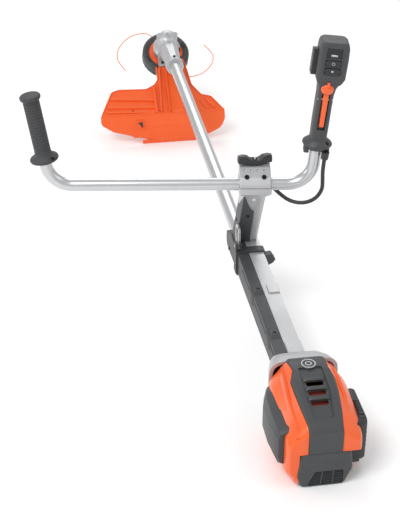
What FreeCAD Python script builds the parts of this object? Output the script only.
import FreeCAD, Part
import math
import os
import re
from types import SimpleNamespace

from FreeCAD import Placement, Rotation, Vector

# Battery brush cutter. Machine frame: the shaft's axis is the Y axis, +Y towards the cutting
# head, +X to the operator's right, +Z up, y = 0 where the tube enters the gear head.
# Every node is built there, or in a frame tied to it (the head, the handlebar, a grip), and
# then set on the floor by one rest placement, so the machine lies on its guard and bumper.

DIMS = {
    # shaft
    "tube_diameter": 28.0, "tube_wall": 1.6, "tube_front": 22.0, "tube_rear": 1292.0,
    "drive_shaft_diameter": 8.0, "bushing_length": 24.0, "bushing_pitch": 300.0,
    # gear head
    "head_angle": 35.0, "axes_crossing": 150.0, "neck_rear_radius": 19.5,
    "neck_front_radius": 25.0, "dome_radius": 33.0, "dome_top": 45.0, "dome_bottom": 15.0,
    "pinion_teeth": 15.0, "gear_teeth": 22.0, "cone_length": 34.0,
    "face_width": 9.0, "output_shaft_radius": 6.0, "bearing_radius": 16.0, "bearing_width": 8.0,
    # trimmer head
    "rim_radius": 61.0, "rim_top": 30.5, "rim_height": 34.0, "cap_radius": 44.0,
    "cup_radius": 32.0, "spool_radius": 43.0, "knob_radius": 30.0, "line_diameter": 2.4,
    "line_angle": -64.0,
    # guard
    "guard_left": 192.0, "guard_right": 128.0, "guard_crease": 195.0, "guard_reach": 246.0, "guard_lip": 56.0,
    "guard_thickness": 3.0, "guard_plate_top": 17.0, "guard_skirt": 22.0,
    # rear frame
    "arm_half_width": 24.0, "arm_half_height": 21.0, "arm_front": 880.0, "arm_rear": 1296.0,
    "post_lean": 28.0, "post_top": 161.0, "post_depth": 32.0,
    "post_half_width": 20.0, "seam_offset": 3.0,
    # handlebar
    "swivel_y": 985.0, "bar_swivel": 8.5, "bar_diameter": 22.0, "bar_wall": 1.8,
    "bar_height": 185.0, "bar_offset": 25.0, "bar_left": 357.0, "bar_right": 97.0,
    "bar_bend": 45.0, "clamp_half_width": 27.0, "stud_diameter": 8.0,
    "left_splay": 8.5, "right_splay": 5.5, "grip_length": 128.0, "grip_radius": 13.5,
    "left_rise": 44.0, "right_rise": 70.0,
    # motor housing
    "house_x": 8.0, "house_half_width": 60.0, "house_front": 1338.0, "house_rear": 1508.0,
    "house_top": 60.0, "house_top_rear": 30.0, "house_bottom": 76.0, "shell_wall": 3.0,
    "cover_half_width": 26.0, "stator_radius": 40.0, "rotor_radius": 24.0, "fan_radius": 38.0,
    # battery
    "battery_length": 122.0, "battery_depth": 84.0, "battery_height": 78.0,
    "battery_right": 82.0, "battery_front": 1402.0, "battery_top": 16.0,
    "battery_gap": 0.6,
    # suspension
    "band_width": 18.0, "band_y": 952.0,
    # control cable
    "cable_diameter": 7.0,
}
d = SimpleNamespace(**DIMS)

doc = FreeCAD.newDocument("brush_cutter")
sheet = doc.addObject("Spreadsheet::Sheet", "dims")
for row, (alias, value) in enumerate(DIMS.items(), start=1):
    sheet.set(f"A{row}", alias)
    sheet.set(f"B{row}", str(value))
    sheet.setAlias(f"B{row}", alias)
doc.recompute()

X_AXIS = Vector(1, 0, 0)
Y_AXIS = Vector(0, 1, 0)
Z_AXIS = Vector(0, 0, 1)
MACHINE = Placement()
HEAD = Placement(Vector(0, d.axes_crossing, 0), Rotation(X_AXIS, d.head_angle))
BAR = Placement(Vector(0, -d.swivel_y, 0), Rotation(Z_AXIS, -d.bar_swivel))
CORDS = ("control_cable", "trimmer_line_left", "trimmer_line_right")
nodes = {}


# ---------------------------------------------------------------- building helpers

def bind(obj, prop, size):
    """Sets a size: a number as it is, a formula of sheet names as an expression."""
    if isinstance(size, str):
        text = re.sub(r"[a-z_]+", lambda m: "dims." + m[0] if m[0] in DIMS else m[0], size)
        obj.setExpression(prop, text)
    else:
        setattr(obj, prop, size)


def turn(towards):
    return Rotation(Z_AXIS, Vector(*towards))


def cylinder(name, radius, length, at=(0, 0, 0), along=(0, 0, 1)):
    obj = doc.addObject("Part::Cylinder", name)
    bind(obj, "Radius", radius)
    bind(obj, "Height", length)
    obj.Placement = Placement(Vector(*at), turn(along))
    return obj


def cone(name, radius_low, radius_high, length, at=(0, 0, 0), along=(0, 0, 1)):
    obj = doc.addObject("Part::Cone", name)
    bind(obj, "Radius1", radius_low)
    bind(obj, "Radius2", radius_high)
    bind(obj, "Height", length)
    obj.Placement = Placement(Vector(*at), turn(along))
    return obj


def box(name, low, high):
    """A box from its low corner to its high corner."""
    obj = doc.addObject("Part::Box", name)
    obj.Length = high[0] - low[0]
    obj.Width = high[1] - low[1]
    obj.Height = high[2] - low[2]
    obj.Placement = Placement(Vector(*low), Rotation())
    return obj


def soft_box(name, low, high, radius):
    """A box whose twelve edges are rounded."""
    base = box(name + "_block", low, high)
    obj = doc.addObject("Part::Fillet", name)
    obj.Base = base
    obj.Edges = [(edge, radius, radius) for edge in range(1, 13)]
    return obj


def joined(kind, name, objects):
    obj = doc.addObject(kind, name)
    setattr(obj, "Links" if kind == "Part::Compound" else "Shapes", list(objects))
    return obj


def fuse(name, *objects):
    return joined("Part::MultiFuse", name, objects)


def common(name, *objects):
    return joined("Part::MultiCommon", name, objects)


def group(name, objects):
    """Identical fasteners that share one node, as separate solids."""
    return joined("Part::Compound", name, objects)


def cut(name, base, *tools):
    obj = doc.addObject("Part::Cut", name)
    obj.Base = base
    obj.Tool = tools[0] if len(tools) == 1 else fuse(name + "_tools", *tools)
    return obj


def ring(name, outer, inner, length, at=(0, 0, 0), along=(0, 0, 1)):
    return cut(name, cylinder(name + "_outer", outer, length, at, along),
               cylinder(name + "_inner", inner, length, at, along))


def outline(sketch, points):
    """A closed outline of straight sides; a point's third value rounds its corner."""
    ends = []
    for index, point in enumerate(points):
        corner = Vector(point[0], point[1], 0)
        radius = point[2] if len(point) > 2 else 0
        if not radius:
            ends.append((corner, corner, None))
            continue
        before = Vector(*points[index - 1][:2], 0) - corner
        after = Vector(*points[(index + 1) % len(points)][:2], 0) - corner
        before.normalize()
        after.normalize()
        half = before.getAngle(after) / 2
        start = corner + before * (radius / math.tan(half))
        end = corner + after * (radius / math.tan(half))
        middle = corner + (before + after).normalize() * (radius / math.sin(half) - radius)
        ends.append((start, end, middle))
    for index, (start, end, middle) in enumerate(ends):
        if middle is not None:
            sketch.addGeometry(Part.Arc(start, middle, end), False)
        following = ends[(index + 1) % len(ends)][0]
        if (following - end).Length > 1e-6:
            sketch.addGeometry(Part.LineSegment(end, following), False)


def pad(name, points, plane, start, length):
    """A body padded from an outline: YZ goes towards +X, XY towards +Z, XZ towards -Y."""
    body = doc.addObject("PartDesign::Body", name)
    sketch = body.newObject("Sketcher::SketchObject", name + "_outline")
    origin = [item for item in body.Origin.OriginFeatures if item.Role == plane + "_Plane"]
    sketch.AttachmentSupport = [(origin[0], "")]
    sketch.MapMode = "FlatFace"
    sketch.AttachmentOffset = Placement(Vector(0, 0, start), Rotation())
    outline(sketch, points)
    feature = body.newObject("PartDesign::Pad", name + "_pad")
    feature.Profile = sketch
    bind(feature, "Length", length)
    body.Tip = feature
    return body


def turned(name, points, at=(0, 0, 0), along=(0, 0, 1)):
    """A body turned about its own Z from a half outline of (radius, height) points."""
    body = doc.addObject("PartDesign::Body", name)
    sketch = body.newObject("Sketcher::SketchObject", name + "_outline")
    origin = [item for item in body.Origin.OriginFeatures if item.Role == "XZ_Plane"]
    sketch.AttachmentSupport = [(origin[0], "")]
    sketch.MapMode = "FlatFace"
    outline(sketch, points)
    feature = body.newObject("PartDesign::Revolution", name + "_turn")
    feature.Profile = sketch
    feature.ReferenceAxis = (sketch, ["V_Axis"])
    feature.Angle = 360
    body.Tip = feature
    body.Placement = Placement(Vector(*at), turn(along))
    return body


def feature(name, shape):
    obj = doc.addObject("Part::Feature", name)
    obj.Shape = shape
    return obj


def node(name, obj, frame=MACHINE):
    """Declares a finished sub-part, built in the given frame."""
    obj.Label = name
    nodes[name] = (obj, frame)
    return obj


def screw(name, at, along, radius=3.5, head=3.0, shank=1.9, length=9.0, socket=1.8):
    """A cap screw: the head stands on `at`, the shank goes back along the other way."""
    away = Vector(*along).normalize()
    base = Vector(*at)
    top = base + away * head
    body = fuse(name + "_blank", cylinder(name + "_head", radius, head, base, along),
                cylinder(name + "_shank", shank, length, base - away * length, along))
    return cut(name, body, cylinder(name + "_socket", socket, head * 0.6, top - away * head * 0.6,
                                    along))


# ---------------------------------------------------------------- gear head

BACK = (0, -1, 0)
AHEAD = (0, 1, 0)
OUTPUT_UP = Rotation(X_AXIS, d.head_angle).multVec(Z_AXIS)


def mesh_turn(place, shared, extra):
    """Turns a gear so that its first tooth, plus the extra angle, points along `shared`."""
    local = place.Rotation.inverted().multVec(shared)
    return Placement(Vector(), Rotation(Z_AXIS, math.degrees(math.atan2(local.y, local.x)) + extra))


def bevel_gear(teeth, cone_angle, bore):
    """A straight bevel gear with its apex at the origin and its body towards +Z."""
    outer = d.cone_length
    inner = outer - d.face_width
    root = cone_angle - math.radians(3.4)
    tip = cone_angle + math.radians(2.6)
    height = outer * math.cos(root)
    low = inner * math.cos(root)
    blank = Part.makeCone(low * math.tan(root), height * math.tan(root), height - low,
                          Vector(0, 0, low))
    hub = Part.makeCylinder(height * math.tan(root) - 1.2, 5, Vector(0, 0, height))
    solid = blank.fuse(hub)
    half_root = 0.27 * 2 * math.pi / teeth
    half_tip = 0.12 * 2 * math.pi / teeth
    bury = root - math.radians(1.5)

    def corner(length, angle, swing):
        across = length * math.sin(angle)
        return Vector(across * math.cos(swing), across * math.sin(swing), length * math.cos(angle))

    for index in range(int(teeth)):
        middle = 2 * math.pi * index / teeth
        loops = []
        for length in (inner + 0.3, outer - 0.1):
            corners = [corner(length, bury, middle - half_root),
                       corner(length, tip, middle - half_tip),
                       corner(length, tip, middle + half_tip),
                       corner(length, bury, middle + half_root)]
            loops.append(Part.makePolygon(corners + corners[:1]))
        solid = solid.fuse(Part.makeLoft(loops, True, True))
    return solid.cut(Part.makeCylinder(bore, outer + 10)).removeSplitter()


def cone_angles():
    """Pitch cone half angles for shafts that meet at 90 degrees less the head's angle."""
    between = math.radians(90 - d.head_angle)
    ratio = d.gear_teeth / d.pinion_teeth
    pinion = math.atan(math.sin(between) / (ratio + math.cos(between)))
    return pinion, between - pinion


def gear_case():
    neck = cone("case_neck", "neck_rear_radius", "neck_front_radius", "axes_crossing",
                (0, 0, 0), AHEAD)
    dome = turned("case_dome", [(0, -d.dome_bottom), (d.dome_radius - 3, -d.dome_bottom),
                                (d.dome_radius, -d.dome_bottom + 3), (d.dome_radius, 26, 12),
                                (20, d.dome_top, 6), (0, d.dome_top)],
                  (0, d.axes_crossing, 0), OUTPUT_UP)
    collar = cylinder("case_collar", "neck_rear_radius + 2.5", 16, (0, 0, 0), AHEAD)
    nose = turned("case_nose", [(0, -24), (21, -24), (21, -10), (0, -10)],
                  (0, d.axes_crossing, 0), OUTPUT_UP)
    blank = fuse("case_blank", neck, dome, collar, nose)
    crossing = Vector(0, d.axes_crossing, 0)
    room = turned("case_room", [(0, -11), (d.bearing_radius, -11), (26, -4), (28, 20),
                                (19, d.dome_top - 5), (0, d.dome_top - 5)], crossing, OUTPUT_UP)
    lower_seat = cylinder("case_lower_seat", "bearing_radius", 30,
                          crossing - OUTPUT_UP * 25, OUTPUT_UP)
    tube_seat = cylinder("case_tube_seat", "tube_diameter / 2", "tube_front + 2", (0, -1, 0), AHEAD)
    pinion_way = fuse("case_pinion_way",
                      cylinder("case_shaft_way", "bearing_radius - 3", 118,
                               (0, d.tube_front - 1, 0), AHEAD),
                      cylinder("case_pinion_room", "bearing_radius + 0.5", 38, (0, 101, 0), AHEAD))
    side_way = Vector(1, 0, 0)
    spots = [((24.6, 112, 0), side_way, 3.95), ((0, 10, 22.05), Z_AXIS, 1.95),
             ((22.05, 10, 0), side_way, 1.95), ((21.95, 60, 0), side_way, 1.95)]
    ways = [cylinder("case_screw_way_" + str(i), radius, 9, Vector(*at) - along * 8, along)
            for i, (at, along, radius) in enumerate(spots)]
    node("gear_housing", cut("gear_case", blank, room, lower_seat, tube_seat, pinion_way, *ways))
    screws = [screw("grease_plug", spots[0][0], side_way, 6, 4, 3.9, 5.6, 2.5)]
    screws += [screw("case_screw_" + str(i), at, along, length=6)
               for i, (at, along, radius) in enumerate(spots[1:])]
    node("gear_housing_screws", group("gear_screws", screws))


def gear_train():
    pinion_angle, gear_angle = cone_angles()
    crossing = Vector(0, d.axes_crossing, 0)
    shared = Rotation(X_AXIS, -math.degrees(pinion_angle)).multVec(Vector(*BACK))
    pinion_place = Placement(crossing, turn(BACK))
    pinion = feature("pinion", bevel_gear(d.pinion_teeth, pinion_angle, d.drive_shaft_diameter / 2))
    pinion.Placement = pinion_place.multiply(mesh_turn(pinion_place, shared, 0))
    node("pinion_gear", pinion)
    gear = feature("crown", bevel_gear(d.gear_teeth, gear_angle, d.output_shaft_radius))
    gear.Placement = mesh_turn(HEAD, shared, 180 / d.gear_teeth)
    node("output_gear", gear, HEAD)
    output = fuse("output_shaft_blank",
                  cylinder("output_journal", "output_shaft_radius", 62, (0, 0, -26)),
                  cylinder("output_thread", 5, 28, (0, 0, -53)))
    node("output_shaft", output, HEAD)
    lower = ring("lower_bearing", "bearing_radius", "output_shaft_radius + 0.05",
                 "bearing_width", crossing - OUTPUT_UP * 22, OUTPUT_UP)
    front = ring("pinion_bearing_ring", "bearing_radius - 3", "drive_shaft_diameter / 2 + 0.05",
                 "bearing_width", (0, 92, 0), AHEAD)
    node("gear_bearings", group("gear_bearing_pair", [lower, front]))


def trimmer_head():
    """Drive disc, line head, its line and the bump knob, about the output shaft."""
    top = -d.rim_top
    disc = turned("disc", [(d.output_shaft_radius, -27.5), (18, -27.5), (d.cup_radius, -30),
                           (d.cup_radius, -34), (5.0, -34), (5.0, -27.5 - 1.5),
                           (d.output_shaft_radius, -27.5 - 1.5)])
    node("drive_disc", disc, HEAD)
    low = top - d.rim_height
    wall = 3.0
    shell = turned("rim", [(d.cap_radius + 0.5, top - 3), (d.rim_radius - 6, top),
                           (d.rim_radius, top - 5), (d.rim_radius, low + 4),
                           (d.rim_radius - 4, low), (d.knob_radius + 6, low),
                           (d.knob_radius + 6, low + wall), (d.rim_radius - 6, low + wall),
                           (d.rim_radius - wall, low + 6), (d.rim_radius - wall, top - 7),
                           (d.rim_radius - 8, top - wall - 1), (d.cap_radius + 0.5, top - 6)])
    eyelet_z = top - 15
    outward = Rotation(Z_AXIS, d.line_angle).multVec(X_AXIS)
    windows = [cylinder("eyelet_way_" + side, 5, 20,
                        outward * sign * (d.rim_radius - 12) + Z_AXIS * eyelet_z,
                        outward * sign) for side, sign in (("left", -1), ("right", 1))]
    node("trimmer_head_housing", cut("rim_cut", shell, *windows), HEAD)
    lip = d.cup_radius + 0.6
    cap = turned("cap", [(9, -34.5), (lip, -34.5), (lip, -32.8), (d.cap_radius, -34.5),
                         (d.cap_radius, -39), (9, -39)])
    node("trimmer_head_cover", cap, HEAD)
    spool_top = -39.5
    spool_low = spool_top - 14
    spool = turned("spool", [(9.5, spool_top), (d.spool_radius, spool_top),
                             (d.spool_radius, spool_top - 2), (20, spool_top - 2),
                             (20, spool_low + 2), (d.spool_radius, spool_low + 2),
                             (d.spool_radius, spool_low), (9.5, spool_low)])
    node("line_spool", spool, HEAD)
    for side, sign in (("left", -1), ("right", 1)):
        node("trimmer_line_" + side, feature("line_" + side, trimmer_line(sign, eyelet_z)), HEAD)
    knob_top = low - 1.5
    knob = turned("bump", [(0, knob_top + 6.8), (d.knob_radius + 8, knob_top + 6.8),
                           (d.knob_radius + 8, knob_top + 4.8), (d.knob_radius, knob_top + 4.8),
                           (d.knob_radius, knob_top - 6, 5), (16, knob_top - 12, 6),
                           (0, knob_top - 12)])
    node("bump_knob", knob, HEAD)


def tube_along(points, radius):
    """A round tube of straight runs joined by tangent arcs, and its arcs' radii."""
    route = [Vector(*point) for point in points]
    edges = []
    radii = []
    start = route[0]
    for before, corner, after in zip(route, route[1:], route[2:]):
        arrive = corner - before
        leave = after - corner
        shorter = min(arrive.Length, leave.Length)
        half = arrive.getAngle(leave) / 2
        reach = 0.45 * shorter
        arc_radius = reach / math.tan(half)
        arrive.normalize()
        leave.normalize()
        first = corner - arrive * reach
        last = corner + leave * reach
        inward = (leave - arrive).normalize()
        middle = corner + inward * (arc_radius / math.cos(half) - arc_radius)
        edges.append(Part.LineSegment(start, first).toShape())
        edges.append(Part.Arc(first, middle, last).toShape())
        radii.append(arc_radius)
        start = last
    edges.append(Part.LineSegment(start, route[-1]).toShape())
    path = Part.Wire(edges)
    heading = (route[1] - route[0]).normalize()
    section = Part.Wire(Part.Edge(Part.Circle(route[0], heading, radius)))
    solid = path.makePipeShell([section], True, False)
    expected = math.pi * radius * radius * path.Length
    print("tube radii", [round(r, 1) for r in radii], "length", round(path.Length, 1),
          "volume ratio", round(solid.Volume / expected, 4))
    return solid


def line_route(sign, height):
    """One bare line: straight out of its eyelet, then trailing round behind it."""
    r = d.rim_radius + 2.2
    around = Rotation(Z_AXIS, d.line_angle)
    trail = [(r, 0, 0), (r + 17, 4, -0.5), (r + 29, 24, -1.5), (r + 34, 52, -3),
             (r + 25, 86, -5), (r + 7, 108, -8), (r - 15, 117, -11), (r - 45, 112, -15)]
    return [around.multVec(Vector(sign * u, sign * v, height + w)) for u, v, w in trail]


def trimmer_line(sign, height):
    return tube_along(line_route(sign, height), d.line_diameter / 2)


# ---------------------------------------------------------------- guard

def guard_parts():
    """The shield, its bracket on the gear head, the extension strip and the line cutter."""
    t = d.guard_thickness
    plate_top = -d.guard_plate_top
    crease = -d.guard_crease
    left, right = -d.guard_left, d.guard_right
    plan = [(-28, -34, 6), (40, -34, 6), (47, -74, 14), (52, -114, 24), (74, -147, 14),
            (98, -153, 14), (right - 5, -190, 12), (right, crease, 5), (left, crease, 5),
            (left + 13, -168, 20), (-158, -124, 14), (-140, -118, 12), (-68, -121, 16),
            (-44, -108, 20), (-26, -80, 20)]
    depth = d.guard_skirt
    solid = pad("guard_solid", plan, "XY", plate_top - depth, depth)
    inset_x, inset_y = 0.976, 0.985
    centre_x = (left + right) / 2
    inner = [(centre_x + (x - centre_x) * inset_x, y * inset_y - 1.2) + tuple(rest)
             for x, y, *rest in plan]
    hollow = pad("guard_hollow", inner, "XY", plate_top - depth - 1, depth + 1 - t)
    shield = cut("guard_shield", solid, hollow)
    slope = [(crease + 3, plate_top), (crease + 3, plate_top - t), (crease - 1, plate_top - t - 1),
             (-d.guard_reach + 1, -d.guard_lip), (-d.guard_reach - 2, -d.guard_lip + 1.5),
             (crease, plate_top)]
    apron = [(left + 1, crease + 8, 3), (right - 1, crease + 8, 3), (right, -212, 12),
             (right - 10, -230, 30), (84, -242, 60), (30, -250, 60), (-46, -250, 60),
             (-100, -240, 60), (left + 30, -226, 40), (left, -210, 12)]
    skirt = common("guard_flare", pad("flare_slope", slope, "YZ", left, right - left),
                   pad("flare_plan", apron, "XY", -d.guard_lip - 2, d.guard_lip))
    ribs = [pad("guard_rib_" + str(i), [(-58, plate_top - 1), (-58, plate_top + 5),
                                        (-150, plate_top + 5), (-186, plate_top - 1)],
                "YZ", x - 1.5, 3) for i, x in enumerate((-34, -14, 30))]
    cutter = (left + 84, crease + 14)
    boss = cylinder("cutter_boss", 10, 10, (*cutter, plate_top - 13))
    blank = fuse("guard_blank", shield, skirt, boss, *ribs)
    ways = [cylinder("guard_way_" + str(i), 2.2, 20, (x, -46, plate_top - 12))
            for i, x in enumerate((-16, 16))]
    cutter_way = cylinder("cutter_way", 2.2, 30, (*cutter, plate_top - 25))
    head_way = cylinder("guard_head_way", "rim_radius + 5", 60, (0, 0, -88))
    node("guard", cut("guard_cut", blank, cutter_way, head_way, *ways), HEAD)
    strip = pad("extension", [(-d.guard_reach - 2.2, -d.guard_lip + 1.6),
                              (-d.guard_reach + 0.8, -d.guard_lip - 0.2),
                              (-d.guard_reach - 3, -d.guard_lip - 9),
                              (-d.guard_reach - 6.5, -d.guard_lip - 8)], "YZ",
                -88, 140)
    node("guard_extension", strip, HEAD)
    blade = cut("cutter_blank",
                box("cutter_plate", (cutter[0] - 18, cutter[1] - 9, plate_top - 15),
                    (cutter[0] + 18, cutter[1] + 9, plate_top - 13)),
                cylinder("cutter_hole", 2.2, 10, (*cutter, plate_top - 18)))
    node("line_cutter_blade", blade, HEAD)
    saddle = box("bracket_plate", (-26, -56, plate_top), (26, -30, plate_top + 5))
    arm = box("bracket_arm", (-26, -40, plate_top), (26, -24, plate_top + 24))
    clear = cylinder("bracket_bore", "neck_front_radius + 0.2", 220,
                     HEAD.inverse().multVec(Vector(0, -20, 0)),
                     HEAD.inverse().Rotation.multVec(Y_AXIS))
    dome_way = cylinder("bracket_dome_way", "dome_radius + 0.2", 80, (0, 0, -40))
    tall = [cylinder("bracket_way_" + str(i), 2.2, 20, (x, -46, plate_top - 5))
            for i, x in enumerate((-16, 16))]
    node("guard_bracket", cut("bracket", fuse("bracket_blank", saddle, arm), clear, dome_way,
                              *tall), HEAD)
    fixings = [screw("guard_screw_" + str(i), (x, -46, plate_top + 5), (0, 0, 1))
               for i, x in enumerate((-16, 16))]
    fixings.append(screw("cutter_screw", (*cutter, plate_top - 15), (0, 0, -1)))
    node("guard_screws", group("guard_screw_set", fixings), HEAD)


# ---------------------------------------------------------------- shaft

def shaft():
    tube = ring("tube", "tube_diameter / 2", "tube_diameter / 2 - tube_wall",
                "tube_front + tube_rear", (0, -d.tube_rear, 0), AHEAD)
    node("shaft_tube", tube)
    length = 128 + d.tube_rear + 16
    rod = cylinder("rod", "drive_shaft_diameter / 2", length, (0, -d.tube_rear - 16, 0), AHEAD)
    node("drive_shaft", rod)
    bushings = [ring("bushing_" + str(i), "tube_diameter / 2 - tube_wall",
                     "drive_shaft_diameter / 2 + 0.05", "bushing_length",
                     (0, -120 - i * d.bushing_pitch, 0), AHEAD) for i in range(4)]
    node("shaft_bushings", group("bushing_set", bushings))


# ---------------------------------------------------------------- rear frame

def post_point(height, depth):
    """A point of the leaning post in the YZ plane: height above the shaft, depth back."""
    lean = math.tan(math.radians(d.post_lean))
    return (-d.arm_front - height * lean - depth, height)


def rear_frame():
    high = d.arm_half_height
    front = post_point(0, -6)
    profile = [(-d.arm_rear, -high + 4, 4), (-d.arm_rear, high, 4),
               (*post_point(high, 0), 30),
               (-d.arm_front + 26, high - 12, 12), (-d.arm_front + 26, -high, 14)]
    metal = pad("frame_metal_side", profile, "YZ", -d.seam_offset, "arm_half_width + seam_offset")
    post_side = [post_point(0, d.post_depth), post_point(d.post_top, d.post_depth),
                 post_point(d.post_top, 0), post_point(0, 0)]
    post = pad("frame_post_side", post_side, "YZ", -d.seam_offset, "post_half_width + seam_offset")
    head_block = [post_point(84, d.post_depth), post_point(d.post_top, d.post_depth),
                  post_point(d.post_top, 0), post_point(122, 0), post_point(84, 27)]
    top = pad("frame_post_head", head_block, "YZ", -d.post_half_width, "2 * post_half_width")
    bore = cylinder("frame_bore", "tube_diameter / 2 + 0.1", 460, (0, -1300, 0), AHEAD)
    hollow = [(-1262, -high + 4, 6), (-1262, high - 4, 6), (-980, high - 4, 6),
              (-980, -high + 4, 6)]
    room = pad("frame_hollow", hollow, "YZ", -30, 50)
    cover_arm = pad("cover_arm_side", profile, "YZ", -d.arm_half_width,
                    "arm_half_width - seam_offset - 0.2")
    cover_post = pad("cover_post_side", post_side, "YZ", -d.post_half_width,
                     "post_half_width - seam_offset - 0.2")
    cover_face = fuse("cable_cover_solid", cover_arm, cover_post)
    stud_way = cylinder("stud_way", "stud_diameter / 2", 60,
                        (0, -d.swivel_y, d.post_top - 22))
    metal_all = fuse("frame_blank", metal, post, top)
    neck_clear = box("post_top_clear", (-60, -1100, d.post_top), (60, -850, 260))
    tools = [bore, room, stud_way, neck_clear]
    node("rear_frame", cut("frame", metal_all, *tools))
    cover_room = pad("cover_hollow", hollow, "YZ", -d.arm_half_width + 3, 30)
    cover_bore = cylinder("cover_bore", "tube_diameter / 2 + 0.1", 460, (0, -1300, 0), AHEAD)
    away = pad("cover_post_head_way", head_block, "YZ", -40, 80)
    spots = [(-d.post_half_width, *post_point(72, 12)), (-d.arm_half_width, -884, -16),
             (-d.arm_half_width, -1098, 0), (-d.arm_half_width, -1236, 0)]
    fixings = [screw("cover_screw_" + str(i), spot, (-1, 0, 0), 3.2, 1.6, 1.6, 2.9)
               for i, spot in enumerate(spots)]
    reliefs = [cylinder("cover_screw_way_" + str(i), 1.7, 3.0, spot, (1, 0, 0))
               for i, spot in enumerate(spots)]
    node("cable_cover", cut("cover", cover_face, cover_room, cover_bore, away, *reliefs))
    node("cable_cover_screws", group("cover_screw_set", fixings))


def suspension():
    """The band round the frame, its swinging eye on the left and its hook on the right."""
    half = d.arm_half_width
    high = d.arm_half_height
    band_front = d.band_y

    def frame_outline(grow, corner):
        return [(-half - grow, -high - grow, corner), (half + grow, -high - grow, corner),
                (half + grow, high + grow, corner), (-half - grow, high + grow, corner)]

    hoop = cut("band_hoop", pad("band_outer", frame_outline(4, 6), "XZ", band_front, "band_width"),
               pad("band_inner", frame_outline(0.1, 0), "XZ", band_front, "band_width"))
    middle = -band_front - d.band_width / 2
    pivot = (-half + 2, middle, high + 13)
    cheeks = [box("band_cheek_" + str(i), (x, middle - 7, high + 2), (x + 3, middle + 7, high + 20))
              for i, x in enumerate((-half - 4, -half + 5))]
    pin_way = cylinder("band_pin_way", 2.5, 16, (-half - 6, pivot[1], pivot[2]), (1, 0, 0))
    node("suspension_band", cut("band", fuse("band_blank", hoop, *cheeks), pin_way))
    node("ring_pin", cylinder("ring_pin_rod", 2.5, 14, (-half - 5, pivot[1], pivot[2]), (1, 0, 0)))
    link = [(middle - 8, high + 6, 7.5), (middle + 8, high + 6, 7.5), (middle + 15, high + 30, 8),
            (middle + 12, high + 56, 11), (middle - 12, high + 56, 11),
            (middle - 15, high + 30, 8)]
    slot = [(middle - 7, high + 24, 4), (middle + 7, high + 24, 4), (middle + 9, high + 36, 6),
            (middle + 7, high + 51, 6), (middle - 7, high + 51, 6), (middle - 9, high + 36, 6)]
    eye = cut("eye", pad("eye_plate", link, "YZ", -half - 0.5, 4),
              pad("eye_slot", slot, "YZ", -half - 1, 6),
              cylinder("eye_bore", 2.55, 8, (-half - 2, pivot[1], pivot[2]), (1, 0, 0)))
    node("suspension_ring", eye)
    hook = pad("hook_side", [(half + 4.1, 12, 1), (half + 16, 14, 4), (half + 24, 2, 3),
                             (half + 19, -5, 2), (half + 4.1, -13, 1)],
               "XZ", band_front + 2, "band_width - 4")
    node("harness_hook", hook)
    return pivot


# ---------------------------------------------------------------- handlebar

def bent_path(points, radius):
    """Straight runs with one bend radius at every corner."""
    route = [Vector(*point) for point in points]
    edges = []
    start = route[0]
    for before, corner, after in zip(route, route[1:], route[2:]):
        arrive = (corner - before).normalize()
        leave = (after - corner).normalize()
        half = arrive.getAngle(leave) / 2
        first = corner - arrive * (radius * math.tan(half))
        last = corner + leave * (radius * math.tan(half))
        inward = (leave - arrive).normalize()
        middle = corner + inward * (radius / math.cos(half) - radius)
        edges.append(Part.LineSegment(start, first).toShape())
        edges.append(Part.Arc(first, middle, last).toShape())
        start = last
    edges.append(Part.LineSegment(start, route[-1]).toShape())
    return Part.Wire(edges)


def upright(side):
    """The frame of one end of the bar: its corner, with Z along the splayed upright."""
    sign, reach, splay = ((-1, d.bar_left, d.left_splay) if side == "left"
                          else (1, d.bar_right, d.right_splay))
    return Placement(Vector(sign * reach, -d.bar_offset, d.bar_height), Rotation(Y_AXIS, sign * splay))


LEFT = upright("left")
RIGHT = upright("right")


def handlebar():
    left_top = LEFT.multVec(Vector(0, 0, d.left_rise + d.grip_length - 8))
    right_top = RIGHT.multVec(Vector(0, 0, d.right_rise + 36))
    path = bent_path([left_top, LEFT.Base, RIGHT.Base, right_top], d.bar_bend)
    start = (LEFT.Base - left_top).normalize()
    solids = []
    for radius in (d.bar_diameter / 2, d.bar_diameter / 2 - d.bar_wall):
        section = Part.Wire(Part.Edge(Part.Circle(left_top, start, radius)))
        solids.append(path.makePipeShell([section], True, False))
    node("handlebar_tube", feature("bar_tube", solids[0].cut(solids[1])), BAR)


def left_grip():
    low = d.left_rise
    high = low + d.grip_length
    bore = d.bar_diameter / 2
    grip = d.grip_radius
    sleeve = turned("left_sleeve", [
        (bore, low + 4), (20, low + 4), (25, low + 7, 1.5), (25, low + 11, 1.5), (grip + 1.5, low + 18, 6),
        (grip, high - 40, 60), (grip, high - 8, 4), (17, high - 5, 1.5), (17, high, 1.5),
        (0, high), (0, high - 7), (bore, high - 7)])
    node("left_grip", sleeve, BAR.multiply(LEFT))

HANDLE_LOW = 70.0
HANDLE_NECK = 178.0
HANDLE_TOP = 268.0
HANDLE_HEAD = 196.0
TRIGGER_PIVOT = (16.0, 166.0)
LOCKOUT_PIVOT = (-13.0, 166.0)


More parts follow.
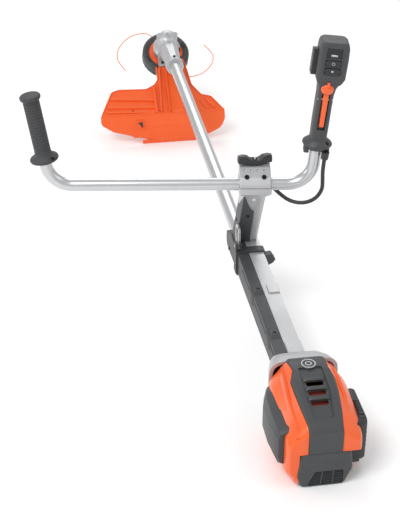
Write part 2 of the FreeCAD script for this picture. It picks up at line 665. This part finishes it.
def right_handle():
    """The control handle: two shells, trigger, lockout, buttons, window and screws."""
    place = BAR.multiply(RIGHT)
    bore = d.bar_diameter / 2
    low = HANDLE_LOW
    neck = HANDLE_NECK
    head_low = HANDLE_HEAD
    top = HANDLE_TOP
    grip = pad("handle_grip", [(-14, -16, 9), (14, -16, 9), (14, 21, 9), (-14, 21, 9)], "XY",
               low + 10, head_low - low - 8)
    flange = turned("handle_flange", [(0, low), (20, low), (25, low + 4, 1.5), (25, low + 8, 1.5),
                                      (15, low + 17), (0, low + 17)])
    head = soft_box("handle_head", (-22, -26, head_low), (27, 22, top), 7)
    blank = fuse("handle_blank", grip, flange, head)
    head_room = box("handle_head_room", (-19, -23, head_low + 4), (24, 19, top - 3))
    seat = cylinder("handle_bar_seat", bore, 38, (0, 0, low - 1))
    room = box("handle_grip_room", (-7, -12.5, low + 38), (7, 25, neck - 4))
    rear_slot = box("handle_rear_slot", (-6.5, -30, low + 40), (6.5, -12, neck - 4))
    window_way = box("handle_window_way", (-10, -30, top - 25), (15, -22, top - 8))
    power_way = box("handle_power_way", (-10.2, -30, top - 39.2), (15.2, -22, top - 27.8))
    mode_way = box("handle_mode_way", (-10.2, -30, top - 52.2), (15.2, -22, top - 41.8))
    boost_way = box("handle_boost_way", (-30, -10.2, top - 63.2), (-18, 12.2, top - 17.8))
    cable_way = cylinder("handle_cable_way", 3, 30, (15, -14, low - 5))
    tools = [head_room, seat, room, rear_slot, window_way, power_way, mode_way, boost_way,
             cable_way]
    shell = cut("handle_shell", blank, *tools)
    pin_ways = [cylinder("trigger_pin_way", 2, 26, (-13, *TRIGGER_PIVOT), (1, 0, 0)),
                cylinder("lockout_pin_way", 2, 26, (-13, *LOCKOUT_PIVOT), (1, 0, 0))]
    shell = cut("handle_shell_pinned", shell, *pin_ways)
    left_side = box("handle_left_side", (-60, -60, 0), (0, 60, 320))
    right_side = box("handle_right_side", (0, -60, 0), (60, 60, 320))
    node("handle_left_shell", common("handle_left", shell, left_side), place)
    node("handle_right_shell", common("handle_right", shell, right_side), place)
    trigger_side = [(TRIGGER_PIVOT[0] - 5, 171, 4), (TRIGGER_PIVOT[0] + 5, 171, 4), (33, 150, 10),
                    (36, 132, 12), (31, 111, 3), (27, 111, 2), (25, 130, 20), (13, 157, 8)]
    trigger = cut("trigger", pad("trigger_side", trigger_side, "YZ", -6, 12),
                  cylinder("trigger_bore", 2.05, 14, (-7, *TRIGGER_PIVOT), (1, 0, 0)))
    node("throttle_trigger", trigger, place)
    lockout_side = [(-8.5, 171, 2.5), (-17, 171.5, 3), (-25, 164, 5), (-25, 150, 5), (-19.5, 141, 5),
                    (-19.5, 114, 2), (-14, 112, 2), (-14, 150, 5), (-8.5, 160, 2)]
    lockout = cut("lockout", pad("lockout_side", lockout_side, "YZ", -6, 12),
                  cylinder("lockout_bore", 2.05, 14, (-7, *LOCKOUT_PIVOT), (1, 0, 0)))
    node("trigger_lockout", lockout, place)
    rods = [cylinder("handle_pin_" + str(i), 2, 26, (-13, *pivot), (1, 0, 0))
            for i, pivot in enumerate((TRIGGER_PIVOT, LOCKOUT_PIVOT))]
    node("handle_pins", group("handle_pin_pair", rods), place)
    node("display_window", box("window_pane", (-10, -27, top - 25), (15, -24, top - 8)), place)
    node("power_button", box("power_key", (-10, -28.5, top - 39), (15, -20, top - 28)), place)
    node("mode_button", box("mode_key", (-10, -28.5, top - 52), (15, -20, top - 42)), place)
    node("boost_button", box("boost_key", (-31, -10, top - 63), (-15, 12, top - 18)), place)
    node("cable_gland", turned("gland", [(3.0, low - 14), (6.2, low - 14, 1), (7, low, 0), (3.0, low)],
                               (15, -14, 0)), place)


def cable_route():
    """The control cable's route in the bar's frame: down from its gland, under the bar, back
    up to the clamp's flank."""
    return [RIGHT.multVec(Vector(15, -14, HANDLE_LOW - 14)),
            RIGHT.multVec(Vector(15, -14, HANDLE_LOW - 34)), (116.2, -38.5, 200),
            (117, -37, 179), (106, -34, 159), (86.5, -29, 148), (64, -22, 148),
            (44.3, -14, 159), (29.8, -8.8, 173.2)]


def control_cable():
    node("control_cable", feature("cable", tube_along(cable_route(), d.cable_diameter / 2)), BAR)


def clamp():
    """The swivelling bar clamp on the post: base, cap, its screws, stud, washer and knob."""
    half = d.clamp_half_width
    rear = -d.bar_offset - 19
    front = 17
    split = d.bar_height
    base_side = [(rear, split - 0.3), (front, split - 0.3), (front, d.post_top + 6, 2),
                 (front - 5, d.post_top + 0.3), (rear + 12, d.post_top + 0.3), (rear, split - 14, 3)]
    cap_side = [(rear, split + 0.3), (rear, split + 7, 3), (-13, split + 27, 3), (front, split + 27, 3),
                (front, split + 0.3)]
    bore = cylinder("clamp_bar_bore", "bar_diameter / 2", 80, (-40, -d.bar_offset, split), (1, 0, 0))
    stud_way = cylinder("clamp_stud_way", "stud_diameter / 2 + 0.08", 80, (0, 0, 150))
    lean = Vector(0, -0.62, 0.78).normalize()
    spots = [Vector(x, rear + 10, split + 16.8) for x in (-15, 15)]
    ways = [cylinder("clamp_screw_way_" + str(i), 2.2, 30, spot - lean * 16, lean)
            for i, spot in enumerate(spots)]
    node("handle_clamp_base", cut("clamp_base", pad("clamp_base_side", base_side, "YZ", -half, 2 * half),
                                  bore, stud_way, *ways), BAR)
    node("handle_clamp_cap", cut("clamp_cap", pad("clamp_cap_side", cap_side, "YZ", -half, 2 * half),
                                 bore, stud_way, *ways), BAR)
    fixings = [screw("clamp_screw_" + str(i), spot, lean, 4.2, 3, 2.15, 5)
               for i, spot in enumerate(spots)]
    node("clamp_screws", group("clamp_screw_pair", fixings), BAR)
    top = split + 27
    node("knob_stud", cylinder("stud", "stud_diameter / 2", 88, (0, -d.swivel_y, d.post_top - 22)))
    hub = cylinder("knob_hub", 12, 11, (0, -d.swivel_y, top + 2.2))
    wings = [pad("knob_wing_" + str(i), [(sign * 8, top + 5, 1), (sign * 29, top + 5, 2),
                                         (sign * 29, top + 24, 3), (sign * 13, top + 22, 3),
                                         (sign * 6, top + 13, 1)][::sign], "XZ", d.swivel_y - 6, 12)
             for i, sign in enumerate((1, -1))]
    stud_bore = cylinder("knob_bore", "stud_diameter / 2 + 0.08", 40, (0, -d.swivel_y, top))
    node("handle_knob", cut("knob", fuse("knob_blank", hub, *wings), stud_bore))


# ---------------------------------------------------------------- motor and housing

def house_block(name, shrink):
    """The housing's outer solid, or its hollow when shrunk by the wall."""
    front, rear = -d.house_front - shrink, -d.house_rear + shrink
    top, low = d.house_top - shrink, -d.house_bottom + shrink
    rear_top = d.house_top_rear - shrink
    half = d.house_half_width - shrink
    side = [(rear, low, 6), (rear, rear_top - 8, 6), (rear + 14, rear_top, 12), (-1400, top - 3, 60),
            (-1358, top, 22), (front, top - 18, 8), (front, -44 + shrink, 8), (-1366, low, 16)]
    x = d.house_x
    section = [(x - half, -52, 12), (x - half + 16, low, 8), (x + half - 16, low, 8),
               (x + half, -52, 12), (x + half, 22, 14), (x + half - 24, top, 8),
               (x - half + 24, top, 8), (x - half, 22, 14)]
    return common(name, pad(name + "_side", side, "YZ", x - half - 1, 2 * half + 2),
                  pad(name + "_section", section, "XZ", d.house_front - 1, 172))


def housing():
    x = d.house_x
    half = d.house_half_width
    wall = cut("house_wall", house_block("house_outer", 0), house_block("house_inner", d.shell_wall))
    band = d.cover_half_width
    cover_zone = fuse("cover_zone", box("cover_zone_top", (x - band, -1520, 12), (x + band, -1330, 80)),
                      box("cover_zone_rear", (x - band, -1520, -13), (x + band, -1490, 12)))
    bumper_zone = box("bumper_zone", (x - 80, -1520, -90), (x + 80, -1476, -13))
    gap = d.battery_gap
    battery_way = box("battery_door", (20, -d.battery_front - d.battery_depth - gap,
                                       d.battery_top - d.battery_height - gap),
                      (90, -d.battery_front + gap, d.battery_top + gap))
    vents = [box("vent_" + str(i), (x - 13, y - 5, 30), (x + 13, y, 80))
             for i, y in enumerate((-1424, -1440, -1456))]
    collar_way = cylinder("collar_way", 34, 20, (0, -d.house_front + 10, 0), BACK)
    node("housing_top_cover", cut("top_cover", common("top_cover_blank", wall, cover_zone), *vents))
    grille = [box("grille_" + str(i) + str(j), (x - 33 + 23 * i, -1520, z), (x - 13 + 23 * i, -1490, z + 3))
              for i in range(3) for j, z in enumerate((-64, -57, -50, -43, -36))]
    node("rear_bumper", cut("bumper", common("bumper_blank", wall, bumper_zone), battery_way, *grille))
    sides = {"left": box("left_zone", (x - 90, -1520, -90), (x, -1330, 90)),
             "right": box("right_zone", (x, -1520, -90), (x + 90, -1330, 90))}
    shells = {}
    for side, zone in sides.items():
        blank = common("house_" + side + "_blank", wall, zone)
        tools = [cover_zone, bumper_zone, collar_way] + ([battery_way] if side == "right" else [])
        shells[side] = cut("house_" + side, blank, *tools)
        node("housing_" + side, shells[side])
    end = soft_box("compartment_end", (x - half - 14, -1488, -54), (x - half - 0.2, -1374, 22), 6)
    node("battery_compartment_end", end)
    collar = turned("motor_collar", [(0, 0), (33, 0), (36, 6, 3), (56, 38, 4), (56, 41.6), (52, 41.6),
                                     (34, 10), (13, 10), (0, 10)], (0, -d.arm_rear - 0.2, 0), BACK)
    bearing_way = cylinder("collar_bearing_way", 13, 20, (0, -d.arm_rear + 1, 0), BACK)
    node("motor_front_cover", cut("collar", collar, bearing_way))


def motor():
    """Rotor, fan and coupling on the shaft's axis, and the stator round them."""
    coupling = cylinder("coupling_sleeve", 10, 22, (0, -d.arm_rear - 1, 0), BACK)
    coupling_ways = [cylinder("coupling_way_front", 4, 12, (0, -d.arm_rear - 0, 0), BACK),
                     cylinder("coupling_way_rear", 5, 22, (0, -d.tube_rear - 16, 0), BACK)]
    node("shaft_coupling", cut("coupling", coupling, *coupling_ways))
    spindle = cylinder("rotor_spindle", 5, 88, (0, -d.tube_rear - 16, 0), BACK)
    core = cylinder("rotor_core", "rotor_radius", 36, (0, -1351, 0), BACK)
    node("motor_rotor", fuse("rotor", spindle, core))
    hub = ring("fan_hub", 12, 5, 7, (0, -1341, 0), BACK)
    plate = ring("fan_plate", "fan_radius", 5, 1.5, (0, -1348.5, 0), BACK)
    blades = []
    for index in range(9):
        blade = box("fan_blade_" + str(index), (10, -1349, -0.8), (d.fan_radius - 1, -1342, 0.8))
        blade.Placement = Placement(Vector(), Rotation(Y_AXIS, index * 40)).multiply(blade.Placement)
        blades.append(blade)
    spindle_way = cylinder("fan_way", 5, 20, (0, -1335, 0), BACK)
    node("cooling_fan", cut("fan", fuse("fan_blank", hub, plate, *blades), spindle_way))
    stator = ring("stator_ring", "stator_radius", "rotor_radius + 0.8", 36, (0, -1352, 0), BACK)
    node("motor_stator", stator)
    seat = box("rear_bearing_seat", (-40, -1396, -22), (40, -1390, 22))
    seat_way = cylinder("rear_seat_way", 5.05, 20, (0, -1385, 0), BACK)
    front_ring = ring("motor_front_ring", 13, 10.05, 9, (0, -d.arm_rear - 0.4, 0), BACK)
    node("motor_bearings", group("motor_bearing_pair", [front_ring,
                                                        cut("rear_seat", seat, seat_way)]))


def battery():
    """The pack, which slides out to the right, and its two latches."""
    front = -d.battery_front
    rear = front - d.battery_depth
    low = d.battery_top - d.battery_height
    right = d.battery_right
    pack = soft_box("pack", (right - d.battery_length, rear, low), (right, front, d.battery_top), 5)
    seat = box("latch_seat", (right - 12.1, front - 60, d.battery_top - 9),
               (right - 2.9, front - 24, d.battery_top + 1))
    node("battery_pack", cut("battery_case", pack, seat))
    node("battery_latch", box("latch", (right - 12, front - 59.8, d.battery_top - 5.8),
                              (right - 3, front - 24.2, d.battery_top + 0.2)))
    node("controller_board", box("controller_plate", (-34, -1399.5, -46), (48, -1397.5, 30)))


# ---------------------------------------------------------------- all parts

def rest_placement():
    """Sets the machine on the floor: nose up until guard strip and bumper share one level."""
    strip = nodes["guard_extension"][0].Shape
    strip = strip.copy()
    strip.Placement = HEAD.multiply(strip.Placement)
    bumper = nodes["rear_bumper"][0].Shape
    span = strip.BoundBox.Center.y - bumper.BoundBox.Center.y
    angle = 0.0
    for _ in range(6):
        turned_by = Placement(Vector(), Rotation(X_AXIS, math.degrees(angle)))
        levels = []
        for shape in (strip, bumper):
            low = shape.copy()
            low.Placement = turned_by.multiply(low.Placement)
            levels.append(low.optimalBoundingBox(False, False).ZMin)
        angle += (levels[1] - levels[0]) / span
    rest = Placement(Vector(0, 0, -levels[0]), Rotation(X_AXIS, math.degrees(angle)))
    everything = FreeCAD.BoundBox()
    for name, (obj, frame) in nodes.items():
        if name not in CORDS:
            shape = obj.Shape.copy()
            shape.Placement = rest.multiply(frame).multiply(shape.Placement)
            everything.add(shape.optimalBoundingBox(False, False))
    centre = everything.Center
    return Placement(Vector(-centre.x, -centre.y, -levels[0]), rest.Rotation)


def main():
    gear_case()
    gear_train()
    trimmer_head()
    guard_parts()
    shaft()
    rear_frame()
    suspension()
    handlebar()
    left_grip()
    right_handle()
    control_cable()
    clamp()
    housing()
    motor()
    battery()
    doc.recompute()
    rest = rest_placement()
    for name, (obj, frame) in nodes.items():
        obj.Placement = rest.multiply(frame).multiply(obj.Placement)
        obj.Label = name
    doc.recompute()
    faults = []
    for obj in doc.Objects:
        if "Invalid" in obj.State or "Error" in obj.State:
            faults.append(obj.Name + " " + str(obj.State))
    for name, (obj, frame) in nodes.items():
        if obj.Shape.isNull() or not obj.Shape.isValid():
            faults.append(name + " has no valid shape")
    if faults:
        raise RuntimeError("; ".join(faults))
    print("rest", rest)
    os.makedirs("parts", exist_ok=True)
    for name, (obj, frame) in nodes.items():
        obj.Shape.exportStep("parts/" + name + ".step")
    print(len(nodes), "nodes")


main()
